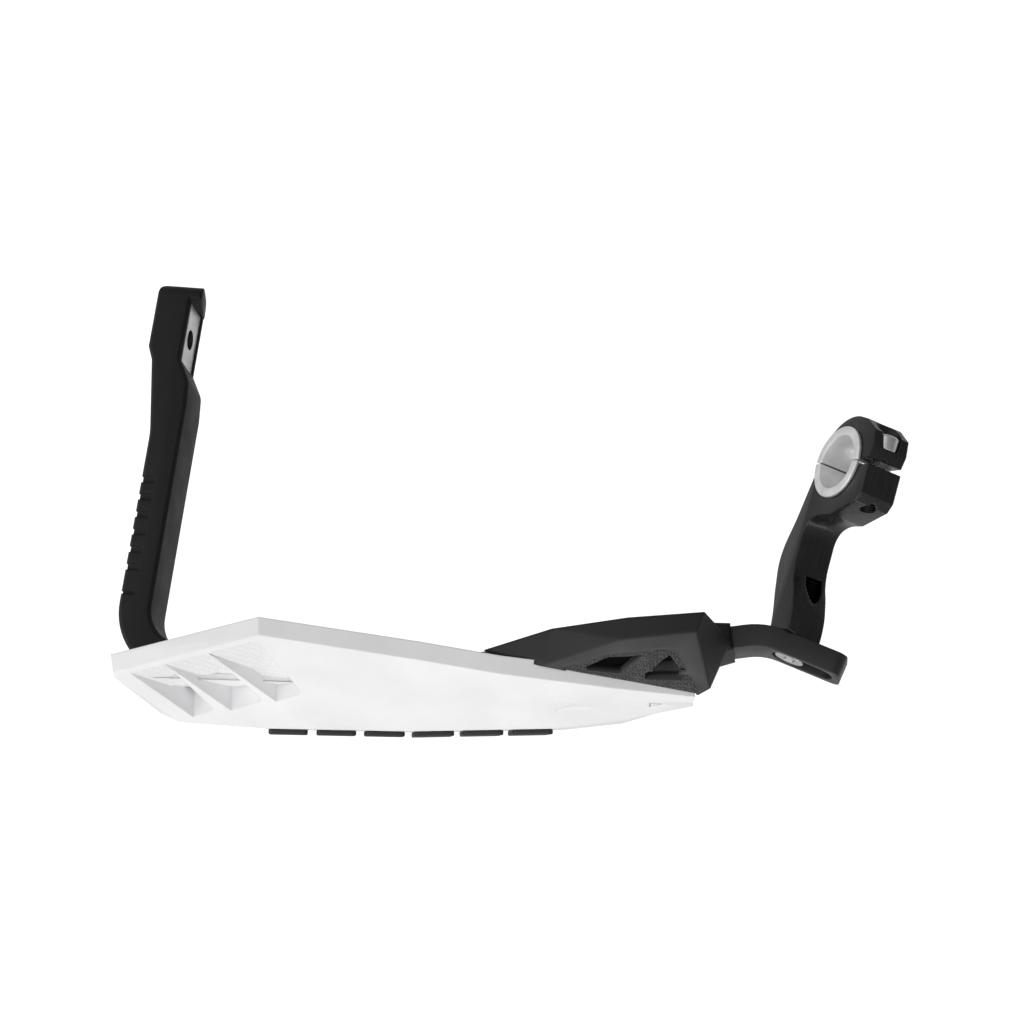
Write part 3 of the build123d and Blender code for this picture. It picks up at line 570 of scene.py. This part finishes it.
def tapped_hole(piece, start, direction, depth, radius, pitch, thread):
    """A threaded hole: ridges drawn out turn by turn, then cut from the piece."""
    deselect_all()
    bpy.ops.mesh.primitive_circle_add(vertices=32, radius=radius * mm, fill_type="NGON")
    cutter = bpy.context.object
    edit_all()
    rise = pitch * mm / 2
    for step in range(round(2 * depth / pitch)):
        bpy.ops.mesh.extrude_region_move(TRANSFORM_OT_translate={"value": (0, 0, rise)})
        share = thread_narrowing if step % 2 == 0 else 1 / thread_narrowing
        bpy.ops.transform.resize(value=(share, share, 1), center_override=(0, 0, (step + 1) * rise))
    bpy.ops.mesh.select_all(action="SELECT")
    bpy.ops.mesh.normals_make_consistent(inside=False)
    stop_editing()
    turn = direction.to_track_quat("Z", "Y").to_matrix().to_4x4()
    cutter.data.transform(Matrix.Translation(start * mm) @ turn)
    for material in (*piece.data.materials, thread):
        cutter.data.materials.append(material)
    for face in cutter.data.polygons:
        face.material_index = len(cutter.data.materials) - 1
    piece.data.materials.append(thread)
    pick(piece)
    cut = piece.modifiers.new("hole", "BOOLEAN")
    cut.operation = "DIFFERENCE"
    cut.solver = "EXACT"
    cut.object = cutter
    bpy.ops.object.modifier_apply(modifier="hole")
    bpy.data.objects.remove(cutter)


# the guard's pieces


def make_bar():
    """The flat bar, bare where the handlebar's end sits against it."""
    bar = finished_copy("alloy_bar", dark_coat)

    def on_seat(corners, normal, area):
        return normal.x > seat_facing and between(seat_reach, middle_of(corners).y / mm)

    give_faces(bar, bare_alloy, on_seat)


def make_ramp_ends(facet_u, facet_z):
    """The curved lower ends of the three ramps, sunk behind the facet that holds the vents."""
    depth = ramp_depth + ramp_end_thickness / 2
    place = axes_at(bend + run_forward * (vent_facet_forward - depth), facet_u, facet_z, run_forward)
    ends = []
    for number, outline in enumerate(ramp_ends):
        points = [(u, z, "VECTOR") for u, z in outline[:ramp_end_corners]]
        points += [(u, z, "AUTO") for u, z in outline[ramp_end_corners:]]
        name = "ramp_end_%d" % number
        ends.append(outlined_plate(name, points, ramp_end_thickness, ramp_end_edge, place, grained_white))
        bpy.ops.object.shade_smooth_by_angle(angle=math.radians(30))
    return ends


def liner_plate(name, low, high, origin, upright, facing):
    """One plate of the vents' liner, from low to high along upright."""
    outline = [(u, height, "VECTOR") for u, height in (
        (liner_start, low), (liner_end, low), (liner_end, high), (liner_start, high)
    )]
    place = axes_at(origin, run_inboard + run_forward * liner_lean, upright, facing)
    return outlined_plate(name, outline, liner_thickness, liner_edge, place, white_moulding)


def make_vent_liner():
    """A shelf over the cover's front edge and a wall in front of it, seen through the vents."""
    overlap = liner_thickness / 2
    wall = liner_plate(
        "vent_wall_liner", liner_foot, liner_top + overlap,
        bend + run_forward * liner_forward, up, run_forward,
    )
    shelf = liner_plate(
        "vent_shelf_liner", liner_forward - liner_shelf_depth, liner_forward + overlap,
        bend + up * liner_top, run_forward, up,
    )
    return [wall, shelf]


def make_shield():
    """The white shield, with grained ramps drawn down to their curved lower ends."""
    shield = finished_copy("shield", white_moulding, 0.6, 3, 14)
    facet_u = run_inboard + run_forward * vent_facet_per_u
    facet_z = up + run_forward * vent_facet_per_z
    front = facet_u.cross(facet_z).normalized()
    if front.dot(run_forward) < 0:
        front = -front

    def on_ramp(corners, normal, area):
        u, forward, z = in_run(middle_of(corners))
        depth = vent_facet_forward + vent_facet_per_u * u + vent_facet_per_z * z - forward
        behind_vents = between(ramp_face_depth, depth) and between(ramp_face_u, u) and z > ramp_face_lowest
        return behind_vents and between(ramp_face_facing, normal.dot(front)) and area > ramp_face_area

    give_faces(shield, grained_white, on_ramp)
    added = make_ramp_ends(facet_u, facet_z) + make_vent_liner()
    pick(shield)
    for plate in added:
        plate.select_set(True)
    bpy.ops.object.join()


def make_hood():
    """The small inner cover, with the dotted field sunk in its front."""
    hood = finished_copy("inner_cover", hood_moulding, 0.9, 3, 12)

    def in_field(corners, normal, area):
        middle = middle_of(corners)
        near = [corner + (middle - corner) * field_slack for corner in corners]
        within = all(inside(hood_field, *in_run(corner)[::2]) for corner in near)
        return within and normal.dot(run_forward) > field_facing and area > field_face_area

    give_faces(hood, dotted_black, in_field)


def make_arm():
    """The clamp's arm, with its foot cut to the guard's tip and three threaded holes."""
    bore = []
    for step in range(bore_steps + 1):
        angle = math.radians(step * 2 * bore_half_sweep / bore_steps - bore_half_sweep)
        along = bore_along - bore_radius * math.cos(angle)
        bore.append((along, bore_across + bore_radius * math.sin(angle), "VECTOR"))
    arm = outlined_plate(
        "clamp_arm_finished", arm_left_side + bore + arm_ear + arm_right_side, clamp_width, arm_edge,
        axes_at(clamp_start, clamp_along, clamp_across, -bore_axis), milled_coat,
    )
    edit_all()
    foot = (pivot_face + tip_rear * arm_foot_gap) * mm
    bpy.ops.mesh.bisect(plane_co=foot, plane_no=tip_rear, use_fill=True, clear_inner=True)
    stop_editing()
    pivot_hole_depth = pivot_bolt_end + pivot_hole_spare
    pinch_start = clamp_place(pinch_hole_start, pinch_across, 0)
    holes = [
        (pivot_face - tip_rear, tip_rear, pivot_hole_depth, pivot_hole_radius, large_pitch),
        (clamp_place(*side_hole_start), clamp_along, side_hole_depth, side_hole_radius, large_pitch),
        (pinch_start, clamp_along, pinch_hole_depth, pinch_hole_radius, small_pitch),
    ]
    for hole in holes:
        tapped_hole(arm, *hole, dark_thread)
    pick(arm)
    bpy.ops.object.shade_smooth_by_angle(angle=math.radians(28))
    stand_for(arm, "clamp_arm")


def make_pinch_bolt():
    bolt = finished_copy("pinch_bolt", zinc_steel, 0.4)

    def on_shank(corners, normal, area):
        along, across, outward = in_clamp(middle_of(corners))
        return along < pinch_shank_end and math.hypot(across - pinch_across, outward) < pinch_shank_reach

    give_faces(bolt, bolt_thread, on_shank)


def make_pivot_bolt():
    """The pivot bolt, its shank ending inside the arm."""
    bolt = finished_copy("pivot_bolt", zinc_steel, 0.3)
    for corner in bolt.data.vertices:
        beyond = (corner.co / mm - pivot_face).dot(tip_rear) - pivot_bolt_end
        if beyond > 0:
            corner.co -= tip_rear * beyond * mm


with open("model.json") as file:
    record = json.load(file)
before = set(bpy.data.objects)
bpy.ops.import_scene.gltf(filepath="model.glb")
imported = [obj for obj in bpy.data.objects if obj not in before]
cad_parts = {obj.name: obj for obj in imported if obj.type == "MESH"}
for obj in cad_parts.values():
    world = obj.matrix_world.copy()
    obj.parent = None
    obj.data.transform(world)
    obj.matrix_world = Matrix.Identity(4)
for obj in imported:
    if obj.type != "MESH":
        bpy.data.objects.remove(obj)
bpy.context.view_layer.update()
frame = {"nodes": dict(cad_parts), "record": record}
bpy.context.scene.view_settings.view_transform = "Standard"
body_of = {}
for body, names in frame["record"]["behaviour"]["bodies"].items():
    for name in names:
        body_of[name] = body

white_moulding = moulded_finish(
    "white_moulding", (0.9, 0.893, 0.902), roughness=0.4,
    grain_scale=1500, grain_depth=0.015, edge_radius=0.8,
)
grained_white = dotted_finish(
    "grained_white", (0.84, 0.835, 0.84), roughness=0.6,
    dots_per_metre=1050, dot_height=0.12, dot_painted_highlight=1.12,
)
black_moulding = moulded_finish(
    "black_moulding", (0.006, 0.006, 0.0065), roughness=0.5,
    grain_scale=1800, grain_depth=0.02, edge_radius=1.3, specular=0.28,
)
hood_moulding = moulded_finish(
    "hood_moulding", (0.008, 0.008, 0.0085), roughness=0.4,
    grain_scale=1800, grain_depth=0.02, edge_radius=1.8,
)
dotted_black = dotted_finish(
    "dotted_black", (0.012, 0.012, 0.0125), roughness=0.42,
    dots_per_metre=750, dot_height=0.35, dot_painted_highlight=4.0,
)
pad_rubber = moulded_finish(
    "pad_rubber", (0.012, 0.012, 0.0125), roughness=0.5,
    grain_scale=1200, grain_depth=0.03, edge_radius=0.6,
)
dark_coat = coated_finish(
    "dark_grey_coat", (0.022, 0.022, 0.023), roughness=0.4, metallic=0.25, edge_radius=0.9
)
milled_coat = milled_finish("milled_black_anodised", (0.014, 0.014, 0.0145), roughness=0.25, metallic=0.3)
dark_thread = turned_finish("dark_thread", (0.02, 0.02, 0.021), roughness=0.4, edge_radius=0)
bare_alloy = turned_finish("turned_alloy", (0.9, 0.9, 0.9), roughness=0.42, edge_radius=0.4, metallic=0.7)
zinc_steel = turned_finish("zinc_steel", (0.66, 0.66, 0.67), roughness=0.27, edge_radius=0.3, scale=900)
bolt_thread = threaded_finish("bolt_thread", (0.55, 0.55, 0.56), 0.3, clamp_along, small_pitch, depth=0.3)
brass = turned_finish("brass", (0.72, 0.5, 0.2), roughness=0.35, edge_radius=0.2)

make_camera()
make_floor()
make_lights()

make_bar()
finished_copy("bar_cover", black_moulding, 0.8, 3)
make_shield()
make_hood()
make_arm()
finished_copy("clamp_cap", milled_coat, 0.8, 3)
make_pinch_bolt()
make_pivot_bolt()
for node in ("sleeve_upper", "sleeve_lower"):
    finished_copy(node, bare_alloy, 0.3)
finished_copy("slide_washer", zinc_steel, 0.25)
for node in frame["nodes"]:
    if node.startswith("trim_pad"):
        finished_copy(node, pad_rubber, 0.6, 3)
    elif node.startswith("shield_insert"):
        set_finish(node, brass)
    elif node.startswith("shield_screw"):
        finished_copy(node, zinc_steel, 0.3)
